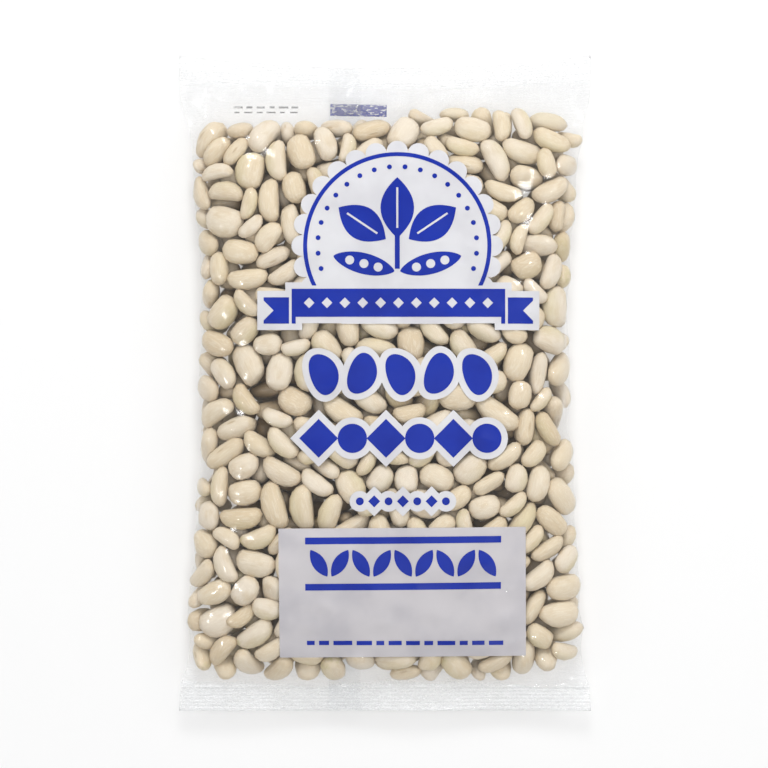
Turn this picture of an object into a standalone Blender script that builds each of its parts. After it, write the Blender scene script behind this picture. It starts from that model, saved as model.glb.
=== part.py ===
"""A clear sealed pillow bag of dried white beans, lying on its back with its front up.

Metres, +Z up. X runs across the bag, +Y towards its top edge, and the origin is on the
surface that the bag lies on, below the middle of its outline. The bag is one solid: a
pillow-shaped core with the beans that press on the film fused to it, the flat header, the
two crimped end seals and the lapped seam down the back.
"""

import math
import random

import bmesh
import bpy
from mathutils import Matrix, Vector

MM = 0.001

# The bag, laid out from its film tube
BAG_LENGTH = 227.5 * MM
SEAL_WIDTH = 143.0 * MM
WAIST_WIDTH = 129.6 * MM
BODY_THICKNESS = 25.0 * MM
EDGE_HEIGHT = 8.5 * MM
SHEET_THICKNESS = 0.8 * MM

# The filled stretch, between the header and the bottom seal
FILL_BOTTOM = -104.0 * MM
FILL_TOP = 96.5 * MM
TOP_SHOULDER = 75.0 * MM
BOTTOM_SHOULDER = 65.0 * MM
BACK_SHOULDER = 34.0 * MM
FRONT_SQUARENESS = 3.0
BACK_SQUARENESS = 6.0

# The waist, which the filling draws in, and the flares from it to the two seals
WAIST_TOP = 38.0 * MM
WAIST_BOTTOM = 20.0 * MM
BOTTOM_FLARE_POWER = 1.8

# The flat ends
HEADER_DROOP = 4.0 * MM
BOTTOM_DROOP = 2.5 * MM
TOP_EDGE_DIP = 4.5 * MM
SHEET_WAVE = 0.9 * MM
SEAL_DEPTH = 10.0 * MM
RIB_PITCH = 2.0 * MM
RIB_HEIGHT = 0.35 * MM

# The seam down the back, where the film tube is closed
SEAM_X = -14.0 * MM
SEAM_WIDTH = 11.0 * MM
SEAM_DEPTH = 3.0 * MM
SEAM_PROUD = 0.15 * MM

# The beans that press on the film
BEAN_LENGTH = 12.8 * MM
BEAN_WIDTH = 8.3 * MM
BEAN_THICKNESS = 6.2 * MM
BEAN_SIZE_SPREAD = 0.10
BEAN_BEND = 0.10
BEAN_PROUD = 1.7 * MM
BEAN_FLAT = 0.8 * MM
BEAN_PITCH = 15.0 * MM
BEAN_JITTER = 0.16
BEAN_SIDES = 5
BEAN_RINGS = 4
BEAN_SEED = 11

# How finely the core and the rings that the beans are set out on are divided
CORE_COLUMNS = 10
CORE_ROWS = 12
RING_STEPS = 60


def waist_share(y):
    """How far the outline at y has come from the waist to the seal width, from 0 to 1."""
    if y > WAIST_TOP:
        t = (y - WAIST_TOP) / (BAG_LENGTH / 2 - WAIST_TOP)
        return t * t * (3 - 2 * t)
    if y < WAIST_BOTTOM:
        return ((WAIST_BOTTOM - y) / (WAIST_BOTTOM + BAG_LENGTH / 2)) ** BOTTOM_FLARE_POWER
    return 0.0


def half_width(y):
    """Half the width of the bag's outline at y."""
    return (WAIST_WIDTH + (SEAL_WIDTH - WAIST_WIDTH) * waist_share(y)) / 2


def shoulder(distance, reach):
    """A quarter ellipse: 0 at the end of the filling, 1 from reach onwards."""
    t = min(max(distance / reach, 0.0), 1.0)
    return math.sqrt(1 - (1 - t) ** 2)


def fullness(y, top_reach, bottom_reach):
    """How far the filling at y has reached its full thickness, from 0 to 1."""
    return shoulder(FILL_TOP - y, top_reach) * shoulder(y - FILL_BOTTOM, bottom_reach)


def dome(across, squareness):
    """How full the cross-section is at across, which runs from -1 to 1 over the width."""
    return math.sqrt(max(0.0, 1 - abs(across) ** squareness))


def edge_height(across, y):
    """Height of the plane where the front film meets the back film."""
    header = max(0.0, (y - FILL_TOP) / (BAG_LENGTH / 2 - FILL_TOP))
    foot = max(0.0, (FILL_BOTTOM - y) / (BAG_LENGTH / 2 + FILL_BOTTOM))
    wave = SHEET_WAVE * math.sin(2.2 * math.pi * across + 0.6) * (header + foot)
    return EDGE_HEIGHT - HEADER_DROOP * header - BOTTOM_DROOP * foot + wave


def rib(y):
    """Height of the crimp's ribs at y, which run across both end seals."""
    inside = abs(y) - (BAG_LENGTH / 2 - SEAL_DEPTH)
    if inside <= 0:
        return 0.0
    return RIB_HEIGHT * math.sin(2 * math.pi * inside / RIB_PITCH)


def skin(across, y, front, inset=0.0):
    """A point of the bag's skin, taken in by inset where the bag is filled.

    The top edge dips in its middle, because the filled body draws the film in there.
    """
    full = fullness(y, TOP_SHOULDER, BOTTOM_SHOULDER)
    x = across * (half_width(y) - inset * full)
    middle = edge_height(across, y) + rib(y)
    if front:
        rise = (BODY_THICKNESS - EDGE_HEIGHT - SHEET_THICKNESS / 2 - inset) * full
        z = middle + SHEET_THICKNESS / 2 + rise * dome(across, FRONT_SQUARENESS)
    else:
        back_full = fullness(y, BACK_SHOULDER, BACK_SHOULDER)
        drop = (EDGE_HEIGHT - SHEET_THICKNESS / 2 - inset) * back_full
        z = middle - SHEET_THICKNESS / 2 - drop * dome(across, BACK_SQUARENESS)
    header = max(0.0, (y - FILL_TOP) / (BAG_LENGTH / 2 - FILL_TOP))
    return Vector((x, y - TOP_EDGE_DIP * header * (1 - across * across), z))


def core_rows():
    """The stations along the bag: on each rib and groove of the seals, wider elsewhere."""
    seal = BAG_LENGTH / 2 - SEAL_DEPTH
    ribs = round(2 * SEAL_DEPTH / RIB_PITCH)
    body = [-seal + 2 * seal * i / CORE_ROWS for i in range(1, CORE_ROWS)]
    crests = [seal + RIB_PITCH * (i / 2 + 0.25) for i in range(1, ribs - 1)]
    ends = [seal] + crests + [BAG_LENGTH / 2]
    return [-y for y in reversed(ends)] + body + ends


def core_columns():
    """The stations across the bag, closer together towards its sides."""
    steps = range(CORE_COLUMNS + 1)
    return [math.sin(math.pi * (i / CORE_COLUMNS - 0.5)) for i in steps]


def shell_mesh(name, rows, columns, point):
    """A closed mesh whose front and back are grids of point(across, y, front)."""
    mesh = bmesh.new()
    grids = []
    for front in (True, False):
        grids.append([[mesh.verts.new(point(a, y, front)) for a in columns] for y in rows])
    last_row, last_column = len(rows) - 1, len(columns) - 1
    for grid, front in zip(grids, (True, False)):
        for j in range(last_row):
            for i in range(last_column):
                quad = [grid[j][i], grid[j][i + 1], grid[j + 1][i + 1], grid[j + 1][i]]
                mesh.faces.new(quad if front else quad[::-1])
    rim = [(0, i) for i in range(last_column)] + [(j, last_column) for j in range(last_row)]
    rim += [(last_row, i) for i in range(last_column, 0, -1)] + [(j, 0) for j in range(last_row, 0, -1)]
    upper, lower = grids
    for (j0, i0), (j1, i1) in zip(rim, rim[1:] + rim[:1]):
        mesh.faces.new([lower[j0][i0], lower[j1][i1], upper[j1][i1], upper[j0][i0]])
    data = bpy.data.meshes.new(name)
    mesh.to_mesh(data)
    mesh.free()
    return data


def new_object(name, data, collection=None):
    """An object for a mesh, linked to the collection or to the scene."""
    thing = bpy.data.objects.new(name, data)
    (collection or bpy.context.scene.collection).objects.link(thing)
    return thing


def core_point(across, y, front):
    """A point of the core, which lies below the skin by what the beans stand proud."""
    return skin(across, y, front, BEAN_PROUD)


def seam_point(across, y, front):
    """A point of the back seam's strip, whose outer face lies just outside the skin."""
    x = SEAM_X + across * SEAM_WIDTH / 2
    outer = skin(x / half_width(y), y, False)
    # Only the filled stretch has room for the strip's full depth.
    depth = SHEET_THICKNESS / 2 + SEAM_DEPTH * fullness(y, BACK_SHOULDER, BACK_SHOULDER)
    return Vector((x, outer.y, outer.z + depth if front else max(0.0, outer.z - SEAM_PROUD)))


def bean_mesh(random_source):
    """A low-poly bean of true size: an ellipsoid whose long axis is bent a little."""
    scale = [1 + BEAN_SIZE_SPREAD * random_source.uniform(-1, 1) for _ in range(3)]
    length, width = BEAN_LENGTH * scale[0], BEAN_WIDTH * scale[1]
    thickness = BEAN_THICKNESS * scale[2]
    mesh = bmesh.new()
    bmesh.ops.create_uvsphere(mesh, u_segments=BEAN_SIDES, v_segments=BEAN_RINGS, radius=0.5)
    for vert in mesh.verts:
        # The sphere's poles lie on Z, which becomes the bean's long axis.
        along, side, up = vert.co.z, vert.co.x, vert.co.y
        side += BEAN_BEND * (4 * along * along - 0.5)
        vert.co = (along * length, side * width, up * thickness)
    data = bpy.data.meshes.new("bean")
    mesh.to_mesh(data)
    mesh.free()
    return data, thickness


def ring_around(y):
    """Points once round the core's cross-section at y, with across and front for each."""
    halves = [math.sin(math.pi * (i / RING_STEPS - 0.5)) for i in range(RING_STEPS)]
    stations = [(a, True) for a in halves] + [(-a, False) for a in halves]
    return [(core_point(a, y, front), a, front) for a, front in stations]


def walk_ring(ring, start, pitch):
    """Evenly spaced stations round a ring, about a pitch apart."""
    ends = ring[1:] + ring[:1]
    lengths = [(b[0] - a[0]).length for a, b in zip(ring, ends)]
    count = max(1, round(sum(lengths) / pitch))
    step = sum(lengths) / count
    target, walked, found = start * step, 0.0, []
    for length, (_, across, front) in zip(lengths, ring):
        walked += length
        if walked >= target and len(found) < count:
            found.append((across, front))
            target += step
    return found


def outward(across, y, front):
    """The skin's outward direction at a point of the core."""
    here = core_point(across, y, front)
    step = 0.02 if across < 0 else -0.02
    beside = core_point(across + step, y, front)
    along = core_point(across, y + MM, front)
    normal = (beside - here).cross(along - here).normalized()
    middle = Vector((0, y, EDGE_HEIGHT))
    return normal if normal.dot(here - middle) > 0 else -normal


def hold_in(data, side):
    """Move a bean in until the side film holds it, and flatten it on what the bag lies on."""
    spill = max(abs(vert.co.x) - half_width(vert.co.y) for vert in data.vertices)
    if spill > 0:
        data.transform(Matrix.Translation((-side * spill, 0, 0)))
    for vert in data.vertices:
        vert.co.z = 0.0 if vert.co.z < BEAN_FLAT else min(vert.co.z, BODY_THICKNESS)


def add_beans(collection):
    """Beans on a staggered, jittered lattice over the front, the sides and the back."""
    random_source = random.Random(BEAN_SEED)
    first, last = FILL_BOTTOM + BEAN_WIDTH / 2, FILL_TOP - BEAN_WIDTH / 2
    row_count = round((last - first) / (BEAN_PITCH * math.sqrt(3) / 2))
    for row in range(row_count + 1):
        row_y = first + (last - first) * row / row_count
        for across, front in walk_ring(ring_around(row_y), 0.5 + 0.5 * (row % 2), BEAN_PITCH):
            y = row_y + BEAN_JITTER * BEAN_PITCH * random_source.uniform(-1, 1)
            y = min(max(y, first), last)
            across += BEAN_JITTER * random_source.uniform(-0.1, 0.1)
            across = min(max(across, -0.995), 0.995)
            data, thickness = bean_mesh(random_source)
            normal = outward(across, y, front)
            turn = Matrix.Rotation(random_source.uniform(0, math.pi), 4, "Z")
            place = normal.to_track_quat("Z", "Y").to_matrix().to_4x4() @ turn
            seat = core_point(across, y, front) + normal * (BEAN_PROUD - thickness / 2)
            place.translation = seat
            data.transform(place)
            hold_in(data, math.copysign(1, seat.x))
            new_object("bean", data, collection)


def bag_material():
    """Cream beans behind clear film."""
    material = bpy.data.materials.new("beans_in_film")
    material.use_nodes = True
    shader = material.node_tree.nodes["Principled BSDF"]
    shader.inputs["Base Color"].default_value = (0.72, 0.62, 0.44, 1.0)
    shader.inputs["Roughness"].default_value = 0.35
    shader.inputs["Metallic"].default_value = 0.0
    return material


def build_bag():
    """The bag as one solid: its core with the seam strip and the beans fused on."""
    bag = new_object("bean_bag", shell_mesh("bean_bag", core_rows(), core_columns(), core_point))
    extras = bpy.data.collections.new("fused_on")
    bpy.context.scene.collection.children.link(extras)
    add_beans(extras)
    new_object("seam", shell_mesh("seam", core_rows(), [-1.0, 1.0], seam_point), extras)
    union = bag.modifiers.new("fuse", "BOOLEAN")
    union.operation = "UNION"
    union.operand_type = "COLLECTION"
    union.collection = extras
    union.solver = "EXACT"
    bpy.context.view_layer.objects.active = bag
    bpy.ops.object.modifier_apply(modifier=union.name)
    for thing in list(extras.objects):
        bpy.data.objects.remove(thing)
    bpy.data.collections.remove(extras)
    # The seam strip and the beans came in with no material, so the bag has one slot.
    bag.data.materials.clear()
    bag.data.materials.append(bag_material())
    bag.data.shade_smooth()
    bag.data.set_sharp_from_angle(angle=math.radians(40))
    return bag


def main():
    """Clear the scene and build the bag."""
    for thing in list(bpy.data.objects):
        bpy.data.objects.remove(thing)
    build_bag()


main()
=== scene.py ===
"""The looks of a clear sealed bag of dried white beans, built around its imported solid.

Everything is in metres, in the solid's own frame: the bag lies on its back on z = 0, its
printed front faces +Z and its top edge lies towards +Y.
"""

from __future__ import annotations

import logging
import math
from dataclasses import dataclass, field
from enum import Enum
from typing import Any, Callable

import bpy
import numpy as np
from mathutils import Matrix, Vector
from mathutils.bvhtree import BVHTree

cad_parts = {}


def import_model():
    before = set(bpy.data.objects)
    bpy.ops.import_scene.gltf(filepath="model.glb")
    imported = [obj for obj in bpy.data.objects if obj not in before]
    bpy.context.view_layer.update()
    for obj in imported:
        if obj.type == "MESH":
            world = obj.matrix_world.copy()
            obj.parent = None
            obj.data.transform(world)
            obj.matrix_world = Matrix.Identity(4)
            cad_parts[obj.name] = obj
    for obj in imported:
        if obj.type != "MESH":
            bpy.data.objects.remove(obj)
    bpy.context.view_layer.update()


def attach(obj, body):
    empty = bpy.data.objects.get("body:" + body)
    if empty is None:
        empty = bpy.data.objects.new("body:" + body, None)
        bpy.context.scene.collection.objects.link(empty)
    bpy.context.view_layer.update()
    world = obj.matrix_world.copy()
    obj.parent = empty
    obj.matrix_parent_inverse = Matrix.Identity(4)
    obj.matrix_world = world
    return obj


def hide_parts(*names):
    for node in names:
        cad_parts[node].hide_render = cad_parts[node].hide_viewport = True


LOG = logging.getLogger("bean_bag")
MM = 0.001
Array = np.ndarray
Piece = bpy.types.Object
Colour = tuple[float, float, float, float]


class Wire:
    """A shader socket's value, which takes part in Python sums."""

    def __init__(self, graph: Graph, socket: bpy.types.NodeSocket) -> None:
        """Keep the socket and the node tree that it belongs to."""
        self.graph = graph
        self.socket = socket

    def __add__(self, other: Wire | float) -> Wire:
        """The sum."""
        return self.graph.maths("ADD", self, other)

    __radd__ = __add__

    def __sub__(self, other: Wire | float) -> Wire:
        """The difference."""
        return self.graph.maths("SUBTRACT", self, other)

    def __rsub__(self, other: Wire | float) -> Wire:
        """The difference the other way round."""
        return self.graph.maths("SUBTRACT", other, self)

    def __mul__(self, other: Wire | float) -> Wire:
        """The product."""
        return self.graph.maths("MULTIPLY", self, other)

    __rmul__ = __mul__

    def __pow__(self, other: Wire | float) -> Wire:
        """The power."""
        return self.graph.maths("POWER", self, other)

    def clamp(self) -> Wire:
        """The value held between 0 and 1."""
        return self.graph.node("ShaderNodeClamp", values={"Value": self})


class Graph:
    """The node tree of one material or world."""

    def __init__(self, owner: bpy.types.Material | bpy.types.World) -> None:
        """Empty the owner's node tree, ready for its own nodes.

        Args:
            owner: The material or world that the nodes belong to.
        """
        owner.use_nodes = True
        self.tree = owner.node_tree
        self.tree.nodes.clear()

    def node(
        self,
        kind: str,
        settings: dict[str, Any] | None = None,
        values: dict[str | int, Any] | None = None,
        out: str | int = 0,
    ) -> Wire:
        """Add a node, set it up, then feed its sockets.

        Args:
            kind: The node's type.
            settings: Its settings.
            values: What goes into its sockets: numbers, colours or other nodes' values.
            out: The output that is wanted.

        Returns:
            That output.
        """
        made = self.tree.nodes.new(kind)
        for name, value in (settings or {}).items():
            setattr(made, name, value)
        for name, value in (values or {}).items():
            if isinstance(value, Wire):
                self.tree.links.new(value.socket, made.inputs[name])
            else:
                made.inputs[name].default_value = value
        return Wire(self, made.outputs[out])

    def maths(self, operation: str, one: Wire | float, two: Wire | float = 0.0) -> Wire:
        """A Math node's result for one or two values."""
        return self.node("ShaderNodeMath", {"operation": operation}, {0: one, 1: two})

    def blend(self, share: Wire | float, one: Any, two: Any) -> Wire:
        """Mix two colours.

        Args:
            share: How much of the second colour there is, from 0 to 1.
            one: The first colour.
            two: The second colour.

        Returns:
            The mixed colour.
        """
        return self.node("ShaderNodeMix", {"data_type": "RGBA"}, {0: share, 6: one, 7: two}, out=2)

    def step(self, value: Wire | float, low: float, high: float) -> Wire:
        """A smooth step that is 0 up to low and 1 from high on."""
        values = {"Value": value, "From Min": low, "From Max": high}
        return self.node("ShaderNodeMapRange", {"interpolation_type": "SMOOTHSTEP"}, values)

    def noise(
        self, place: Wire, scale: float, detail: float = 2.0, rough: float = 0.5, swirl: float = 0.0
    ) -> Wire:
        """A noise value of about 0 to 1 at a place."""
        values = {"Vector": place, "Scale": scale, "Detail": detail, "Roughness": rough, "Distortion": swirl}
        return self.node("ShaderNodeTexNoise", values=values)

    def place(self) -> Wire:
        """The point on the piece, in metres."""
        return self.node("ShaderNodeTexCoord", out="Object")

    def stretched(self, scale: tuple[float, float, float], turn: float = 0.0) -> Wire:
        """The point on the piece, scaled along each axis and turned about Z."""
        settings = {"Vector": self.place(), "Scale": scale, "Rotation": (0.0, 0.0, turn)}
        return self.node("ShaderNodeMapping", values=settings)

    def attribute(self, name: str, out: str = "Fac") -> Wire:
        """A value or vector that the mesh carries under a name."""
        return self.node("ShaderNodeAttribute", {"attribute_name": name}, out=out)

    def parts(self, vector: Wire) -> list[Wire]:
        """A vector's x, y and z."""
        split = self.node("ShaderNodeSeparateXYZ", values={0: vector}).socket.node
        return [Wire(self, part) for part in split.outputs]

    def bump(self, height: Wire, distance: float, strength: float = 1.0) -> Wire:
        """A surface direction tilted by a height pattern."""
        values = {"Height": height, "Distance": distance, "Strength": strength}
        return self.node("ShaderNodeBump", values=values, out="Normal")

    def finish(self, surface: Wire, kind: str = "ShaderNodeOutputMaterial") -> None:
        """Put a shader on the material's or world's surface."""
        made = self.tree.nodes.new(kind)
        self.tree.links.new(surface.socket, made.inputs["Surface"])


@dataclass(frozen=True)
class BeanFinish:
    """Dry seed coats: cream to ivory, satin, with a scar, faint wrinkles and odd stains, and painted shade
    on the beans that lie deeper in the bag.
    """

    cream: Colour = (0.70, 0.592, 0.428, 1.0)
    ivory: Colour = (0.725, 0.64, 0.52, 1.0)
    buff: Colour = (0.62, 0.495, 0.325, 1.0)
    stain: Colour = (0.50, 0.46, 0.20, 1.0)
    pale: Colour = (0.78, 0.71, 0.59, 1.0)
    olive: Colour = (0.56, 0.49, 0.27, 1.0)
    shade: Colour = (0.115, 0.06, 0.008, 1.0)
    scar: Colour = (0.50, 0.37, 0.22, 1.0)
    roughness: float = 0.40

    def material(self) -> bpy.types.Material:
        """Make the seed coats' shader, which reads each bean's own place and draws.

        Returns:
            The material.
        """
        made = bpy.data.materials.new("seed_coat")
        graph = Graph(made)
        own = graph.attribute("own_place", "Vector")
        draws = graph.attribute("own_draw", "Vector")
        tint, spot, shade = graph.parts(draws)
        along, side, up = graph.parts(own)
        # Each bean samples the noise somewhere else, so no two share a pattern.
        shift = graph.node("ShaderNodeVectorMath", {"operation": "SCALE"}, {0: draws, "Scale": 37.0})
        shifted = graph.node("ShaderNodeVectorMath", {"operation": "ADD"}, {0: own, 1: shift})
        cloud = graph.noise(shifted, 1.1, 3.0)
        colour = graph.blend(graph.step(tint, 0.15, 0.85), self.cream, self.ivory)
        colour = graph.blend(graph.step(shade, 0.70, 1.0) * 0.8, colour, self.buff)
        colour = graph.blend(graph.step(cloud, 0.45, 0.70) * 0.50, colour, self.buff)
        folds = graph.node("ShaderNodeMapping", values={"Vector": shifted, "Scale": (1.2, 5.5, 5.5)})
        wrinkle = graph.noise(folds, 1.6, 2.0)
        colour = graph.blend(graph.step(wrinkle, 0.50, 0.62) * 0.36, colour, self.pale)
        ripe = graph.step(spot, 0.35, 0.80) * graph.step(side + 0.6 * (cloud - 0.5), -0.2, 0.9)
        colour = graph.blend(ripe * 0.45, colour, self.olive)
        ends = graph.step(graph.maths("ABSOLUTE", along), 0.55, 1.0)
        colour = graph.blend(ends * 0.22, colour, self.buff)
        marked = graph.step(spot, 0.86, 0.93) * graph.step(along, 0.35, 0.95)
        blotch = marked * graph.step(graph.noise(shifted, 2.6, 3.0), 0.44, 0.60)
        colour = graph.blend(blotch * 0.55, colour, self.stain)
        away = (along * 3.2) ** 2.0 + ((side + 0.93) * 3.0) ** 2.0 + (up * 6.0) ** 2.0
        scar = 1.0 - graph.step(away, 0.25, 1.0)
        colour = graph.blend(scar * 0.6, colour, self.scar)
        # Painted shade: the coat turns towards the shade colour the deeper the point lies inside the bag.
        colour = graph.blend(graph.attribute("deep") * 0.9, colour, self.shade)
        fine = graph.noise(shifted, 4.2, 1.5, 0.5)
        height = fine * 0.5 + wrinkle * graph.step(shade, 0.2, 0.9) * 1.1 - scar * 0.5
        shader = graph.node("ShaderNodeBsdfPrincipled", values={
            "Base Color": colour,
            "Roughness": fine * 0.16 + (self.roughness - 0.08),
            "Normal": graph.bump(height, 0.22 * MM, 0.8),
        })
        graph.finish(shader)
        return made


@dataclass(frozen=True)
class FilmFinish:
    """Clear glossy film: nearly invisible face on, bright where it turns away, frosted in the seals."""

    name: str = "clear_film"
    haze: float = 0.011
    frost: float = 0.34
    gloss: float = 0.10
    index: float = 1.48

    def material(self) -> bpy.types.Material:
        """Make the film's shader, which reads from the mesh how frosted the film is and where it carries
        painted sheen.

        Returns:
            The material.
        """
        made = bpy.data.materials.new(self.name)
        graph = Graph(made)
        frost = graph.attribute("frost")
        sparkle = graph.noise(graph.stretched((1.0, 2.6, 1.0)), 1500.0, 2.0, 0.7)
        lines = graph.noise(graph.stretched((1.0, 15.0, 1.0)), 130.0, 2.0, swirl=1.6)
        crinkle = graph.noise(graph.stretched((1.0, 0.35, 1.0), 0.5), 150.0, 3.0)
        cross = graph.noise(graph.stretched((0.4, 1.0, 1.0), 0.3), 220.0, 2.0)
        height = crinkle * 0.5 + cross * 0.4 + frost * (lines * 1.6 + sparkle * 0.5)
        normal = graph.bump(height, 0.10 * MM, 0.55)
        clear = graph.node("ShaderNodeBsdfTransparent", values={"Color": (0.994, 0.995, 0.996, 1.0)})
        sheen = graph.node("ShaderNodeBsdfPrincipled", values={
            "Base Color": (0.93, 0.94, 0.95, 1.0),
            "Roughness": frost * 0.18 + self.gloss,
            "Normal": normal,
        })
        mirror = graph.node("ShaderNodeBsdfAnisotropic", values={
            "Color": (1.0, 1.0, 1.0, 1.0), "Roughness": self.gloss, "Normal": normal})
        # Film is thin, so it mirrors as little on its inner side as on its outer side.
        inner = graph.node("ShaderNodeNewGeometry", out="Backfacing")
        index = self.index - inner * (self.index - 1 / self.index)
        edge = graph.node("ShaderNodeFresnel", values={"IOR": index, "Normal": normal})
        patches = graph.noise(graph.stretched((1.0, 1.6, 1.0)), 75.0, 2.0)
        crimped = self.frost * (patches * 1.6 + 0.2) + 0.9 * (sparkle - 0.5) + 0.6 * (lines - 0.5)
        # Milky white goes where the film is frosted, and also where the mesh carries a painted sheen on the
        # creases and a painted whitening on film clear of the beans.
        milky = frost * crimped + self.haze
        mirrored = (edge * 1.3 - 0.035).clamp()
        glossy = graph.node("ShaderNodeMixShader", values={0: mirrored, 1: clear, 2: mirror})
        shader = graph.node("ShaderNodeMixShader", values={0: milky.clamp(), 1: glossy, 2: sheen})
        graph.finish(shader)
        return made


@dataclass(frozen=True)
class InkFinish:
    """Ink on glossy film: a field of one colour, a little uneven and slightly see-through."""

    name: str
    colour: Colour
    uneven: Colour
    cover: float = 1.0
    roughness: float = 0.34
    worn: float = 0.0

    def material(self) -> bpy.types.Material:
        """Make the ink's shader.

        Returns:
            The material.
        """
        made = bpy.data.materials.new(self.name)
        graph = Graph(made)
        cloud = graph.noise(graph.place(), 60.0, 3.0)
        grain = graph.noise(graph.place(), 2400.0, 1.0)
        cover = (graph.noise(graph.place(), 140.0, 2.0) - 0.5) * (1.0 - self.cover) + self.cover
        scratches = graph.noise(graph.stretched((1.0, 2.4, 1.0), 0.2), 520.0, 3.0, 0.7)
        cover = cover * (1.0 - graph.step(scratches, 0.50, 0.60) * self.worn)
        shader = graph.node("ShaderNodeBsdfPrincipled", values={
            "Base Color": graph.blend(graph.step(cloud, 0.35, 0.7), self.colour, self.uneven),
            "Roughness": grain * 0.10 + self.roughness,
            "Normal": graph.bump(grain, 0.02 * MM, 0.5),
            "Alpha": cover.clamp(),
            "Specular IOR Level": 0.2,
        })
        graph.finish(shader)
        return made


def focus(piece: Piece) -> None:
    """Leave every mode, and select one piece alone.

    Args:
        piece: The piece.
    """
    if bpy.context.object and bpy.context.object.mode != "OBJECT":
        bpy.ops.object.mode_set(mode="OBJECT")
    bpy.ops.object.select_all(action="DESELECT")
    bpy.context.view_layer.objects.active = piece
    piece.select_set(True)


def edit(piece: Piece) -> None:
    """Open a piece for editing with all of it selected, as faces.

    Args:
        piece: The piece.
    """
    focus(piece)
    bpy.ops.object.mode_set(mode="EDIT")
    bpy.ops.mesh.select_mode(type="FACE")
    bpy.ops.mesh.select_all(action="SELECT")


def pick(piece: Piece, wanted: Callable[[bpy.types.MeshPolygon], bool]) -> None:
    """Select only the faces that a test picks out, and open the piece for editing.

    Args:
        piece: The piece to edit.
        wanted: The test, which gets each face.
    """
    focus(piece)
    bpy.ops.object.mode_set(mode="EDIT")
    bpy.ops.mesh.select_mode(type="FACE")
    bpy.ops.mesh.select_all(action="DESELECT")
    bpy.ops.object.mode_set(mode="OBJECT")
    for face in piece.data.polygons:
        face.select = wanted(face)
    bpy.ops.object.mode_set(mode="EDIT")


def close_edit() -> None:
    """Leave edit mode."""
    bpy.ops.object.mode_set(mode="OBJECT")


def apply(piece: Piece, kind: str, **settings: Any) -> None:
    """Give a piece a modifier and apply it.

    Args:
        piece: The piece.
        kind: The modifier's type.
        settings: The modifier's settings.
    """
    focus(piece)
    made = piece.modifiers.new(kind.lower(), kind)
    for name, value in settings.items():
        setattr(made, name, value)
    bpy.ops.object.modifier_apply(modifier=made.name)


def mesh_piece(name: str, verts: Array, faces: Array) -> Piece:
    """An object with a mesh made from arrays, shaded smooth.

    Args:
        name: The piece's name.
        verts: Its points.
        faces: Its four-sided faces, as rows of point numbers.

    Returns:
        The object, at the origin.
    """
    data = bpy.data.meshes.new(name)
    data.vertices.add(len(verts))
    data.vertices.foreach_set("co", np.asarray(verts, np.float32).ravel())
    data.loops.add(faces.size)
    data.loops.foreach_set("vertex_index", faces.astype(np.int32).ravel())
    data.polygons.add(len(faces))
    data.polygons.foreach_set("loop_start", np.arange(0, faces.size, 4, dtype=np.int32))
    data.update(calc_edges=True)
    data.shade_smooth()
    piece = bpy.data.objects.new(name, data)
    bpy.context.scene.collection.objects.link(piece)
    return piece


def mark(piece: Piece, name: str, values: Array) -> None:
    """Store a value or a vector for each point of a piece, for its material to read.

    Args:
        piece: The piece.
        name: What the material calls the values.
        values: One number for each point, or one row of three.
    """
    kind, part = ("FLOAT_VECTOR", "vector") if values.ndim == 2 else ("FLOAT", "value")
    made = piece.data.attributes.new(name, kind, "POINT")
    made.data.foreach_set(part, values.astype(np.float32).ravel())


def dress(piece: Piece, material: bpy.types.Material) -> None:
    """Give a piece its only material, and let it ride on the bag.

    Args:
        piece: The piece.
        material: Its material.
    """
    piece.data.materials.clear()
    piece.data.materials.append(material)
    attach(piece, "root")


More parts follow.
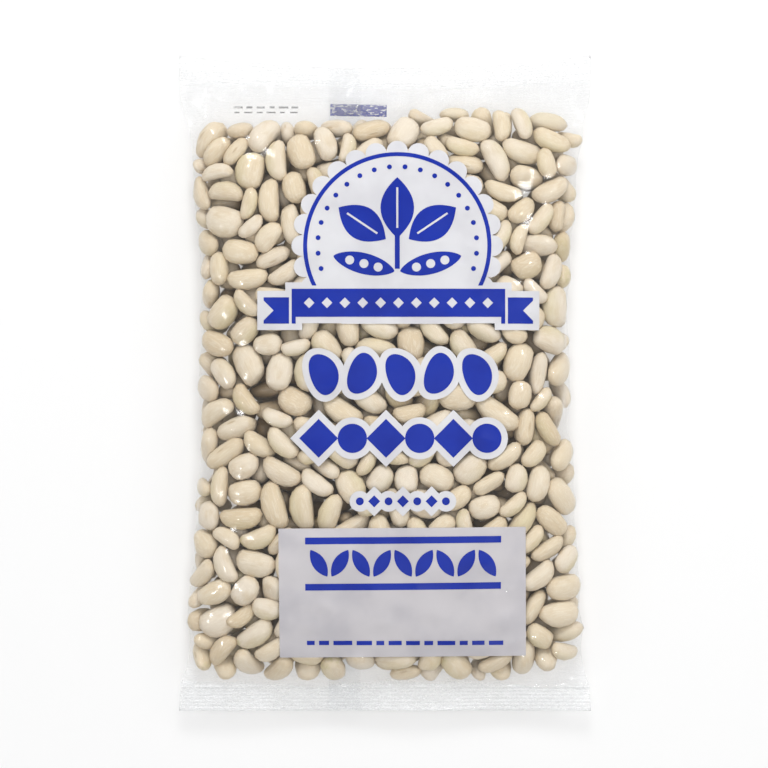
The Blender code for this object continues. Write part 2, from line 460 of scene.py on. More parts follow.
@dataclass(frozen=True)
class BagForm:
    """The pillow shape that the sealed film tube takes over its filling."""

    length: float = 227.5 * MM
    seal_width: float = 143.0 * MM
    waist_width: float = 129.6 * MM
    thickness: float = 25.0 * MM
    edge_height: float = 8.5 * MM
    sheet: float = 0.8 * MM
    fill_bottom: float = -104.0 * MM
    fill_top: float = 96.5 * MM
    top_shoulder: float = 75.0 * MM
    bottom_shoulder: float = 65.0 * MM
    back_shoulder: float = 34.0 * MM
    front_squareness: float = 3.0
    back_squareness: float = 6.0
    waist_top: float = 38.0 * MM
    waist_bottom: float = 20.0 * MM
    bottom_flare_power: float = 1.8
    header_droop: float = 4.0 * MM
    bottom_droop: float = 2.5 * MM
    top_edge_dip: float = 4.5 * MM
    sheet_wave: float = 0.9 * MM
    seal_depth: float = 10.0 * MM
    seam_x: float = -14.0 * MM
    seam_width: float = 11.0 * MM

    def half_width(self, y: Array) -> Array:
        """Half the width of the outline at y.

        Args:
            y: Places along the bag.

        Returns:
            The half-widths there.
        """
        half = self.length / 2
        up = np.clip((y - self.waist_top) / (half - self.waist_top), 0, 1)
        down = np.clip((self.waist_bottom - y) / (self.waist_bottom + half), 0, 1)
        share = up * up * (3 - 2 * up) + down**self.bottom_flare_power
        return (self.waist_width + (self.seal_width - self.waist_width) * share) / 2

    def fullness(self, y: Array, top: float, bottom: float) -> Array:
        """How far the filling has reached its full thickness.

        Args:
            y: Places along the bag.
            top: How far the shoulder reaches down from the fill line.
            bottom: How far the shoulder reaches up from the bottom seal.

        Returns:
            Shares from 0, no filling, to 1.
        """
        upper = np.clip((self.fill_top - y) / top, 0, 1)
        lower = np.clip((y - self.fill_bottom) / bottom, 0, 1)
        return np.sqrt((1 - (1 - upper) ** 2) * (1 - (1 - lower) ** 2))

    def middle(self, across: Array, y: Array) -> Array:
        """Height of the plane where the front film meets the back film.

        Args:
            across: Places over the width, from -1 to 1.
            y: Places along the bag.

        Returns:
            The heights there.
        """
        half = self.length / 2
        header = np.clip((y - self.fill_top) / (half - self.fill_top), 0, 1)
        foot = np.clip((self.fill_bottom - y) / (half + self.fill_bottom), 0, 1)
        wave = self.sheet_wave * np.sin(2.2 * math.pi * across + 0.6) * (header + foot)
        return self.edge_height - self.header_droop * header - self.bottom_droop * foot + wave

    def skin(self, across: Array, y: Array, front: bool) -> Array:
        """Points of the smooth skin that the film would be with no beans pressing on it.

        Args:
            across: Places over the width, from -1 to 1.
            y: Places along the bag.
            front: Whether the front or the back is meant.

        Returns:
            An array with a last axis of x, y and z.
        """
        across, y = np.broadcast_arrays(np.asarray(across, float), np.asarray(y, float))
        wall = self.sheet / 2
        middle = self.middle(across, y)
        if front:
            full = self.fullness(y, self.top_shoulder, self.bottom_shoulder)
            rise = (self.thickness - self.edge_height - wall) * full
            z = middle + wall + rise * np.sqrt(1 - np.abs(across) ** self.front_squareness)
        else:
            drop = (self.edge_height - wall) * self.fullness(y, self.back_shoulder, self.back_shoulder)
            z = middle - wall - drop * np.sqrt(1 - np.abs(across) ** self.back_squareness)
        header = np.clip((y - self.fill_top) / (self.length / 2 - self.fill_top), 0, 1)
        dipped = y - self.top_edge_dip * header * (1 - across**2)
        return np.stack([across * self.half_width(y), dipped, z], axis=-1)


class BeanKind(Enum):
    """The kinds of bean in the bag: length, width and thickness in mm, then the bend."""

    PLUMP = (13.1, 9.0, 6.2, 0.05)
    KIDNEY = (14.3, 8.6, 6.0, 0.13)
    ROUND = (11.8, 9.5, 6.5, 0.03)
    SLIM = (13.3, 7.5, 5.7, 0.08)


@dataclass
class BeanHeap:
    """The loose beans, packed into the film by easing overlapping ones apart.

    The line is how high they reach on the left and on the right. The cling is how fast the outer
    ones move to the film, and the flattening how fast they lay their flat side against it. They
    grow over a share of the steps, and pairs that may touch are looked for every few steps.
    """

    form: BagForm
    count: int = 860
    shares: tuple[float, ...] = (0.36, 0.26, 0.20, 0.18)
    size_spread: float = 0.17
    shape_spread: float = 0.06
    lean_spread: float = 0.055
    steps: int = 300
    pair_steps: int = 5
    growing: float = 0.62
    flattening: float = 0.08
    start_scale: float = 0.72
    cell: float = 1.6 * MM
    film_room: float = 0.24 * MM
    film_wall: float = 0.08 * MM
    line: tuple[float, float] = (91.0 * MM, 96.2 * MM)
    line_from: float = -8 * MM
    line_over: float = 26 * MM
    cling: float = 0.10
    longest: float = 14.5 * MM
    film_push: float = 1.6
    eagerness: float = 1.25
    sharing: float = 0.6
    most_turn: float = 0.35
    flat_from: float = 7.0 * MM
    flat_over: float = 3.0 * MM
    cling_step: float = 2.0 * MM
    cling_reach: float = 3.5 * MM
    # Painted shade on the beans starts this deep inside the bag and is full this much further in.
    shaded_from: float = 3.2 * MM
    shaded_over: float = 5.0 * MM
    corner_beans: tuple[tuple[float, float], ...] = (
        (65.0 * MM, 86.0 * MM), (65.5 * MM, 77.0 * MM), (57.0 * MM, 86.5 * MM), (64.0 * MM, 67.0 * MM),
        (66.0 * MM, -97.0 * MM), (65.0 * MM, -88.0 * MM), (57.0 * MM, -98.0 * MM),
    )
    seed: int = 31
    places: Array = field(init=False)
    turns: Array = field(init=False)
    halves: Array = field(init=False)
    kinds: list[BeanKind] = field(init=False)
    settling: Array = field(init=False)
    _low: Array = field(init=False, repr=False)
    _depth: Array = field(init=False, repr=False)
    _slope: Array = field(init=False, repr=False)

    def _room(self) -> None:
        """Measure how deep each point of a grid lies inside the skin."""
        across = np.sin(np.linspace(-math.pi / 2, math.pi / 2, 41))
        rows = np.linspace(self.form.fill_bottom, self.form.fill_top, 90)
        a_grid, y_grid = np.meshgrid(across, rows)
        verts, faces = [], []
        for front in (True, False):
            base = len(verts)
            points = self.form.skin(a_grid, y_grid, front).reshape(-1, 3)
            verts.extend(map(tuple, points))
            for j in range(len(rows) - 1):
                for i in range(len(across) - 1):
                    k = base + j * len(across) + i
                    faces.append((k, k + 1, k + 1 + len(across), k + len(across)))
        for j in range(len(rows) - 1):
            for i in (0, len(across) - 1):
                k, back = j * len(across) + i, len(rows) * len(across)
                faces.append((k, k + len(across), k + len(across) + back, k + back))
        tree = BVHTree.FromPolygons(verts, faces)
        half = self.form.seal_width / 2
        self._low = np.array([-half - self.cell, self.form.fill_bottom - 4 * self.cell, -self.cell])
        highest = self.form.thickness + 2 * MM
        high = np.array([half + self.cell, self.form.fill_top + 4 * self.cell, highest])
        shape = np.ceil((high - self._low) / self.cell).astype(int) + 1
        axes = [self._low[k] + self.cell * np.arange(shape[k]) for k in range(3)]
        gx, gy, gz = np.meshgrid(*axes, indexing="ij")
        flat = np.stack([gx, gy, gz], axis=-1).reshape(-1, 3)
        near = np.array([tree.find_nearest(p)[3] for p in flat.tolist()])
        x, y, z = flat.T
        # The beans have settled lower on the left than on the right.
        left, right = self.line
        share = np.clip((x - self.line_from) / self.line_over, 0, 1)
        short = left + (right - left) * share * share * (3 - 2 * share) - y
        a = x / self.form.half_width(y)
        inside = (np.abs(a) < 1) & (y > self.form.fill_bottom) & (y < self.form.fill_top)
        a = np.clip(a, -1, 1)
        inside &= z < self.form.skin(a, y, True)[:, 2]
        inside &= z > self.form.skin(a, y, False)[:, 2]
        self._depth = np.minimum(np.where(inside, near, -near), short).reshape(shape)
        self._slope = np.stack(np.gradient(self._depth, self.cell), axis=-1)

    def _sample(self, points: Array) -> tuple[Array, Array]:
        """Read depth inside the skin and the way further in, between grid points.

        Args:
            points: Points to look at, with a last axis of x, y and z.

        Returns:
            The depths, and unit vectors that point inwards.
        """
        spot = (points - self._low) / self.cell
        limit = np.array(self._depth.shape) - 2
        base = np.clip(np.floor(spot).astype(int), 0, limit)
        part = np.clip(spot - base, 0, 1)
        depth = np.zeros(points.shape[:-1])
        slope = np.zeros(points.shape)
        for corner in range(8):
            step = np.array([corner & 1, corner >> 1 & 1, corner >> 2 & 1])
            weight = np.prod(np.where(step, part, 1 - part), axis=-1)
            at = tuple(np.moveaxis(base + step, -1, 0))
            depth += weight * self._depth[at]
            slope += weight[..., None] * self._slope[at]
        length = np.linalg.norm(slope, axis=-1, keepdims=True)
        return depth, slope / np.maximum(length, 1e-9)

    def _lobes(self) -> tuple[Array, Array]:
        """Balls that stand for each bean while it is packed.

        Returns:
            The balls' centres in each bean's own frame, and their radii.
        """
        # Two balls at the ends, four at the corners and two at the sides, less thick outwards.
        a, b, c = (self.halves[:, k : k + 1] for k in range(3))
        tip, corner, zero = 0.86, 0.96, np.zeros_like(a)
        radii = np.concatenate([c * tip] * 2 + [c * corner] * 4 + [c] * 2, axis=1)
        x = np.concatenate([a - tip * c, tip * c - a] + [0.48 * (a - 0.5 * c)] * 2
                           + [-0.48 * (a - 0.5 * c)] * 2 + [zero, zero], axis=1)
        side = b - 0.98 * c
        edge = side * 0.9
        y = np.concatenate([zero, zero, edge, -edge, edge, -edge, side, -side], axis=1)
        return np.stack([x, y, np.zeros_like(x)], axis=-1), radii

    def _turn(self, spins: Array) -> None:
        """Turn every bean by a small rotation vector, and keep its axes square.

        Args:
            spins: One rotation vector for each bean.
        """
        angle = np.linalg.norm(spins, axis=1, keepdims=True)
        spins = spins * np.minimum(1, self.most_turn / np.maximum(angle, 1e-9))
        cross = np.cross(spins[:, None, :], np.moveaxis(self.turns, 1, 2))
        turned = self.turns + np.moveaxis(cross, 1, 2)
        first = turned[:, :, 0] / np.linalg.norm(turned[:, :, 0], axis=1, keepdims=True)
        second = turned[:, :, 1] - first * np.sum(turned[:, :, 1] * first, axis=1, keepdims=True)
        second /= np.linalg.norm(second, axis=1, keepdims=True)
        self.turns = np.stack([first, second, np.cross(first, second)], axis=2)

    def _ease(self, scale: float, pairs: tuple[Array, Array], lobes: Array, radii: Array) -> None:
        """One step: push overlapping beans apart and every bean back into the film.

        Args:
            scale: The share of their full size that the beans have now.
            pairs: Index arrays of the beans that may touch.
            lobes: The balls' centres in each bean's frame.
            radii: The balls' radii.
        """
        one, two = pairs
        arms = np.einsum("nij,nkj->nki", self.turns, lobes * scale)
        balls = self.places[:, None, :] + arms
        reach = radii * scale
        inertia = (self.halves[:, 0] ** 2 + self.halves[:, 1] ** 2) / 5 * scale**2
        moves = np.zeros_like(self.places)
        spins = np.zeros_like(self.places)
        hits = np.zeros(len(self.places))
        gap = balls[one][:, :, None, :] - balls[two][:, None, :, :]
        far = np.sqrt(np.einsum("mkli,mkli->mkl", gap, gap)) + 1e-9
        over = np.maximum(reach[one][:, :, None] + reach[two][:, None, :] - far, 0)
        total = over.sum(axis=(1, 2))
        hit = total > 0
        one, two, gap, far, over, total = one[hit], two[hit], gap[hit], far[hit], over[hit], total[hit]
        share = over / total[:, None, None]
        way = np.einsum("mkl,mkli->mi", share / far, gap)
        way /= np.linalg.norm(way, axis=1, keepdims=True) + 1e-9
        deep = over.max(axis=(1, 2))
        for mine, sign, axis in ((one, 1.0, 2), (two, -1.0, 1)):
            arm = np.einsum("mk,mki->mi", share.sum(axis=axis), arms[mine])
            torque = np.cross(arm, way)
            weight = 1 + np.sum(torque**2, axis=1) / inertia[mine]
            push = deep / (2 * weight)
            np.add.at(moves, mine, sign * push[:, None] * way)
            np.add.at(spins, mine, sign * (push / inertia[mine])[:, None] * torque)
            np.add.at(hits, mine, 1.0)
        depth, inward = self._sample(balls)
        short = np.maximum(reach + self.film_room - depth, 0)
        total = short.sum(axis=1)
        out = np.nonzero(total > 0)[0]
        share = short[out] / total[out][:, None]
        way = np.einsum("mk,mki->mi", share, inward[out])
        way /= np.linalg.norm(way, axis=1, keepdims=True) + 1e-9
        arm = np.einsum("mk,mki->mi", share, arms[out])
        torque = np.cross(arm, way)
        push = short[out].max(axis=1) / (1 + np.sum(torque**2, axis=1) / inertia[out])
        moves[out] += self.film_push * push[:, None] * way
        spins[out] += self.film_push * (push / inertia[out])[:, None] * torque
        hits[out] += 1
        ease = self.eagerness / np.maximum(hits, 1.0)[:, None] ** self.sharing
        self.places = self.places + moves * ease
        # Beans next to the film settle with their flat side against it, some more than others.
        near, inward = self._sample(self.places)
        thin = self.turns[:, :, 2]
        sign = np.sign(np.sum(thin * inward, axis=1, keepdims=True))
        outer = np.clip((self.flat_from - near) / self.flat_over, 0, 1)
        pull = outer[:, None] * self.settling * self.flattening
        self._turn(spins * ease + np.cross(thin * sign, inward) * pull)
        slack = near - self.halves[:, 2] * scale - self.film_room
        drawn = np.clip(slack, 0, self.cling_step) * (slack < self.cling_reach) * self.cling
        self.places -= inward * drawn[:, None]

    def pack(self) -> None:
        """Scatter small beans in the bag, then grow them and ease them apart."""
        chance = np.random.default_rng(self.seed)
        self._room()
        members = list(BeanKind)
        self.kinds = [members[i] for i in chance.choice(len(members), self.count, p=self.shares)]
        sizes = np.array([kind.value[:3] for kind in self.kinds]) * MM / 2
        overall = 1 + self.size_spread * np.clip(chance.normal(0, 0.6, (self.count, 1)), -1.5, 1.5)
        own = 1 + self.shape_spread * np.clip(chance.normal(0, 0.6, (self.count, 3)), -1.5, 1.5)
        self.halves = sizes * overall * own
        low = np.array([-0.07, self.form.fill_bottom, 0.0])
        high = np.array([0.07, self.form.fill_top, 0.025])
        tries = chance.uniform(low, high, (self.count * 12, 3))
        self.places = tries[self._sample(tries)[0] > 1.5 * MM][: self.count]
        # The corners are filled first, as they are in the bag.
        for k, (x, y) in enumerate(self.corner_beans):
            for side in (0, 1):
                self.places[2 * k + side] = ((x, -x)[side], y, self.form.edge_height)
        axes = np.linalg.qr(chance.normal(size=(self.count, 3, 3)))[0]
        self.turns = axes * np.sign(np.linalg.det(axes))[:, None, None]
        self._turn(np.zeros((self.count, 3)))
        self.settling = chance.uniform(0, 1, (self.count, 1)) ** 1.2
        lobes, radii = self._lobes()
        pairs: tuple[Array, Array] = (np.zeros(0, int), np.zeros(0, int))
        for step in range(self.steps):
            grown = min(1.0, step / (self.growing * self.steps))
            scale = self.start_scale + (1 - self.start_scale) * grown
            if step % self.pair_steps == 0:
                apart = self.places[:, None, :] - self.places[None, :, :]
                near = np.einsum("ijk,ijk->ij", apart, apart) < self.longest**2
                pairs = np.nonzero(np.triu(near, 1))
            self._ease(scale, pairs, lobes, radii)

    def _mould(self, kind: BeanKind) -> tuple[Array, Array]:
        """Model one bean of a kind, about 1 in half-size along each axis.

        Args:
            kind: The kind of bean.

        Returns:
            Its points, and its faces as rows of four point numbers.
        """
        length, width, _, bend = kind.value
        bpy.ops.object.select_all(action="DESELECT")
        bpy.ops.mesh.primitive_cube_add(size=2, location=(0, 0, 0))
        bean = bpy.context.object
        edit(bean)
        bpy.ops.mesh.subdivide(number_cuts=3, smoothness=0.0)
        bpy.ops.transform.tosphere(value=0.93)
        # The scar sits in a shallow dent in the middle of the inner side.
        pick(bean, lambda face: face.center.y < -0.8 and abs(face.center.x) < 0.35)
        bpy.ops.transform.translate(value=(0, 0.07, 0))
        close_edit()
        verts = np.array([v.co for v in bean.data.vertices])
        faces = np.array([face.vertices for face in bean.data.polygons])
        bpy.data.objects.remove(bean)
        verts /= np.abs(verts).max(axis=0)
        verts[:, 1] += bend * length / width * (0.45 - verts[:, 0] ** 2) * 1.6
        verts[:, 1] /= np.abs(verts[:, 1]).max()
        return verts, faces

    def build(self, finish: BeanFinish) -> list[Piece]:
        """Make the beans, one piece for each kind.

        Args:
            finish: What the beans are dressed in.

        Returns:
            The pieces.
        """
        chance = np.random.default_rng(self.seed + 1)
        material = finish.material()
        pieces = []
        for kind in BeanKind:
            mould, faces = self._mould(kind)
            mine = np.array([i for i, k in enumerate(self.kinds) if k is kind])
            lean = chance.normal(0, self.lean_spread, (len(mine), 4, 1))
            x, y, z = (np.repeat(mould[None, :, k], len(mine), axis=0) for k in range(3))
            # Each bean tapers, bends and flattens a little in its own way.
            shaped = np.stack([
                x,
                y * (1 + lean[:, 0] * x) + lean[:, 1] * (0.4 - x * x),
                z * (1 + lean[:, 2] * x) * (1 + lean[:, 3] * y),
            ], axis=-1)
            # Two sides of each are pressed a little flat, as seeds are that grew side by side.
            for _ in range(2):
                way = chance.normal(size=(len(mine), 1, 3)) * (0.55, 1.0, 1.0)
                way /= np.linalg.norm(way, axis=2, keepdims=True)
                reach = chance.uniform(0.74, 0.96, (len(mine), 1, 1))
                over = np.sum(shaped * way, axis=2, keepdims=True) - reach
                shaped -= np.maximum(over, 0) * 0.7 * way
            local = shaped * self.halves[mine][:, None, :]
            points = self.places[mine][:, None, :] + np.einsum("nij,nkj->nki", self.turns[mine], local)
            # The lowest and highest beans are pressed flat where the film is flat.
            highest = self.form.thickness - 3 * self.film_wall
            points[..., 2] = np.clip(points[..., 2], self.film_wall, highest)
            offsets = np.arange(len(mine))[:, None, None] * len(mould)
            quads = (faces[None] + offsets).reshape(-1, 4)
            piece = mesh_piece(f"beans_{kind.name.lower()}", points.reshape(-1, 3), quads)
            mark(piece, "own_place", np.tile(mould, (len(mine), 1)))
            mark(piece, "own_draw", np.repeat(chance.uniform(0, 1, (len(mine), 3)), len(mould), axis=0))
            # Painted shade: how deep each point lies inside the bag sets how much of the shade colour its
            # coat gets.
            depth = self._sample(points.reshape(-1, 3))[0]
            mark(piece, "deep", np.clip((depth - self.shaded_from) / self.shaded_over, 0, 1))
            dress(piece, material)
            pieces.append(piece)
        return pieces


@dataclass
class FilmTube:
    """The film, one closed skin that is drawn tight over the beans and sealed at both ends."""

    form: BagForm
    columns: int = 146
    step: float = 0.95 * MM
    seal_step: float = 0.42 * MM
    clearance: float = 0.24 * MM
    tightness: int = 70
    deepest: float = 9 * MM
    first_draw: float = 2.6 * MM
    slope: float = 0.8 * MM
    side_draw: float = 2.4 * MM
    sealed_gap: float = 0.16 * MM
    rib_height: float = 0.13 * MM
    rib_pitch: float = 1.25 * MM
    pleat: float = 0.55 * MM
    creases: int = 16
    floor_gap: float = 0.03 * MM
    top_gap: float = 0.1 * MM
    seed: int = 5

    def _rows(self) -> Array:
        """Lay out the rows along the tube, close together in the two seals.

        Returns:
            Their places along the bag.
        """
        half = self.form.length / 2
        seal = half - self.form.seal_depth
        body = np.linspace(-seal, seal, round(2 * seal / self.step) + 1)
        end = np.linspace(seal, half, round(self.form.seal_depth / self.seal_step) + 1)[1:]
        return np.concatenate([-end[::-1], body, end])

    def _round(self, values: Array) -> Array:
        """The front's values carried on round the back, ring by ring."""
        return np.concatenate([values, values[:, ::-1]], axis=1)

    def _creases(self, x: Array, y: Array) -> Array:
        """How far soft creases and the pleats next to the seals stand out.

        Args:
            x: Places across the bag.
            y: Places along it.

        Returns:
            Heights of zero or more.
        """
        chance = np.random.default_rng(self.seed)
        half = self.form.length / 2
        from_top = half - self.form.seal_depth - y
        from_foot = y + half - self.form.seal_depth
        height = np.zeros_like(x)
        for reach, distance in ((16 * MM, from_top), (11 * MM, from_foot)):
            fade = np.exp(-np.maximum(distance, 0) / reach) * (distance > -2 * MM)
            for _ in range(5):
                wave, phase = chance.uniform(6, 15) * MM, chance.uniform(0, 6.28)
                slant = chance.uniform(-0.5, 0.5)
                folds = 1 + np.sin(6.283 * (x + slant * y) / wave + phase)
                height += fade * self.pleat * 0.35 * folds**2 / 4
        for _ in range(self.creases):
            end = chance.choice([1, -1], p=[0.75, 0.25])
            centre = np.array([chance.uniform(-62, 62) * MM, end * chance.uniform(90, 104) * MM])
            angle = chance.uniform(0.5, 2.6)
            way = np.array([math.cos(angle), math.sin(angle)])
            along = (x - centre[0]) * way[0] + (y - centre[1]) * way[1]
            off = (x - centre[0]) * way[1] - (y - centre[1]) * way[0]
            long, wide = chance.uniform(4, 11) * MM, chance.uniform(0.6, 1.4) * MM
            height += chance.uniform(0.15, 0.45) * MM * np.exp(-((along / long) ** 2) - (off / wide) ** 2)
        return height

    def _directions(self, ring: Array) -> Array:
        """Find the way out of the film at every point of its grid.

        Args:
            ring: The film, as rows of rings of points.

        Returns:
            Unit vectors.
        """
        round_it = np.roll(ring, -1, axis=1) - np.roll(ring, 1, axis=1)
        along = np.gradient(ring, axis=0)
        out = np.cross(round_it, along)
        return out / np.maximum(np.linalg.norm(out, axis=2, keepdims=True), 1e-12)

    def _drape(self, ring: Array, middle: Array, tree: BVHTree) -> tuple[Array, Array]:
        """Draw the film tight over the beans.

        Args:
            ring: The smooth skin, as rows of rings of points.
            middle: The height between front and back at each point.
            tree: The beans' surfaces.

        Returns:
            The draped film's points, and how free of the beans each one is, from 0 to 1.
        """
        out = self._directions(ring)
        start = 5 * MM
        limit = np.full(ring.shape[:2], self.deepest)
        rows, points = limit.shape
        for j in range(rows):
            for i in range(points):
                hit = tree.ray_cast(Vector(ring[j, i] + out[j, i] * start), Vector(-out[j, i]), 16 * MM)
                if hit[3] is not None:
                    limit[j, i] = hit[3] - start - self.clearance
        # Front and back never cross, and the sides give way only a little.
        lift = np.abs(ring[..., 2] - middle) - 0.12 * MM
        steep = np.abs(out[..., 2])
        cap = np.where(steep > 0.3, lift / np.maximum(steep, 0.3), self.side_draw)
        limit = np.minimum(limit, np.maximum(cap, 0))
        limit = np.minimum(limit, np.roll(limit, 1, axis=1) + self.slope)
        limit = np.minimum(limit, np.roll(limit, -1, axis=1) + self.slope)
        draw = np.minimum(limit, self.first_draw)
        free = np.zeros(limit.shape, bool)
        free[2:-2] = True
        film = ring - out * draw[..., None]
        for _ in range(self.tightness):
            mean = (np.roll(film, 1, axis=1) + np.roll(film, -1, axis=1)) / 2
            mean[1:-1] = mean[1:-1] / 2 + (film[2:] + film[:-2]) / 4
            wanted = np.einsum("jik,jik->ji", ring - mean, out)
            draw = np.where(free, np.minimum(limit, wanted), draw)
            film = ring - out * draw[..., None]
        return film, np.clip((limit - draw) / (1.5 * MM), 0, 1)

    def build(self, finish: FilmFinish, beans: list[Piece]) -> Piece:
        """Make the film.

        Args:
            finish: What the film is dressed in.
            beans: The pieces that it is draped over.

        Returns:
            The film's piece.
        """
        verts, faces = [], []
        for bean in beans:
            base = len(verts)
            verts.extend(v.co for v in bean.data.vertices)
            faces.extend([k + base for k in face.vertices] for face in bean.data.polygons)
        tree = BVHTree.FromPolygons(verts, faces)
        rows = self._rows()
        across = np.sin(np.linspace(-math.pi / 2, math.pi / 2, self.columns))
        a_grid, y_grid = np.meshgrid(across, rows)
        half = self.form.length / 2
        inside = np.abs(y_grid) - (half - self.form.seal_depth)
        # The heated bars have crimped the foot along a wavy line.
        wander = np.sin(5.2 * a_grid + 0.4) + 0.6 * np.sin(11.7 * a_grid + 1.9) + 0.3 * np.sin(23.0 * a_grid)
        sealed = np.clip((inside + wander * np.where(y_grid < 0, 0.75, 0.3) * MM) / (1.0 * MM), 0, 1)
        gap = self.form.sheet * (1 - sealed) + self.sealed_gap * sealed
        front = self.form.skin(a_grid, y_grid, True)
        back = self.form.skin(a_grid, y_grid, False)
        middle = self.form.middle(a_grid, y_grid)
        front[..., 2] -= (self.form.sheet - gap) / 2
        back[..., 2] += (self.form.sheet - gap) / 2
        ring = np.concatenate([front, back[:, ::-1]], axis=1)
        level = self._round(middle)
        film, free = self._drape(ring, level, tree)
        x, y = film[..., 0], film[..., 1]
        creases = self._creases(x, y)
        ribs = self._round(sealed) * self.rib_height
        ribs *= np.sin(2 * math.pi * self._round(inside) / self.rib_pitch)
        up = np.where(np.arange(ring.shape[1]) < self.columns, 1.0, -1.0)
        flat = np.clip(1 - np.abs(film[..., 2] - level) / (4 * MM), 0, 1)
        film[..., 2] += creases * (flat + (1 - flat) * 0.35 * up) * np.where(up > 0, 1, flat) + ribs
        film[..., 2] = np.clip(film[..., 2], self.floor_gap, self.form.thickness - self.top_gap)
        count = ring.shape[1]
        grid = np.arange(len(rows) * count).reshape(len(rows), count)
        nxt = np.roll(grid, -1, axis=1)
        quads = np.stack([grid[:-1], nxt[:-1], nxt[1:], grid[1:]], axis=-1).reshape(-1, 4)
        ends = []
        for row, flip in ((grid[0], True), (grid[-1], False)):
            for i in range(self.columns - 1):
                quad = [row[i], row[i + 1], row[count - 2 - i], row[count - 1 - i]]
                ends.append(quad[::-1] if flip else quad)
        piece = mesh_piece("film", film.reshape(-1, 3), np.concatenate([quads, np.array(ends)]))
        frost = self._round(sealed) * np.where(y > 0, 0.55, 1.0)
        # Besides the frost in the seals, the flat sheets get a slight milkiness, the creases a painted sheen
        # that stands in for their reflections, and film clear of the beans a painted whitening that lifts
        # the shade under it.
        frost = np.maximum(frost, flat * (np.clip(creases / MM, 0, 0.5) * 0.6 + 0.10) + free * 0.05)
        mark(piece, "frost", frost.ravel())
        dress(piece, finish.material())
        return piece


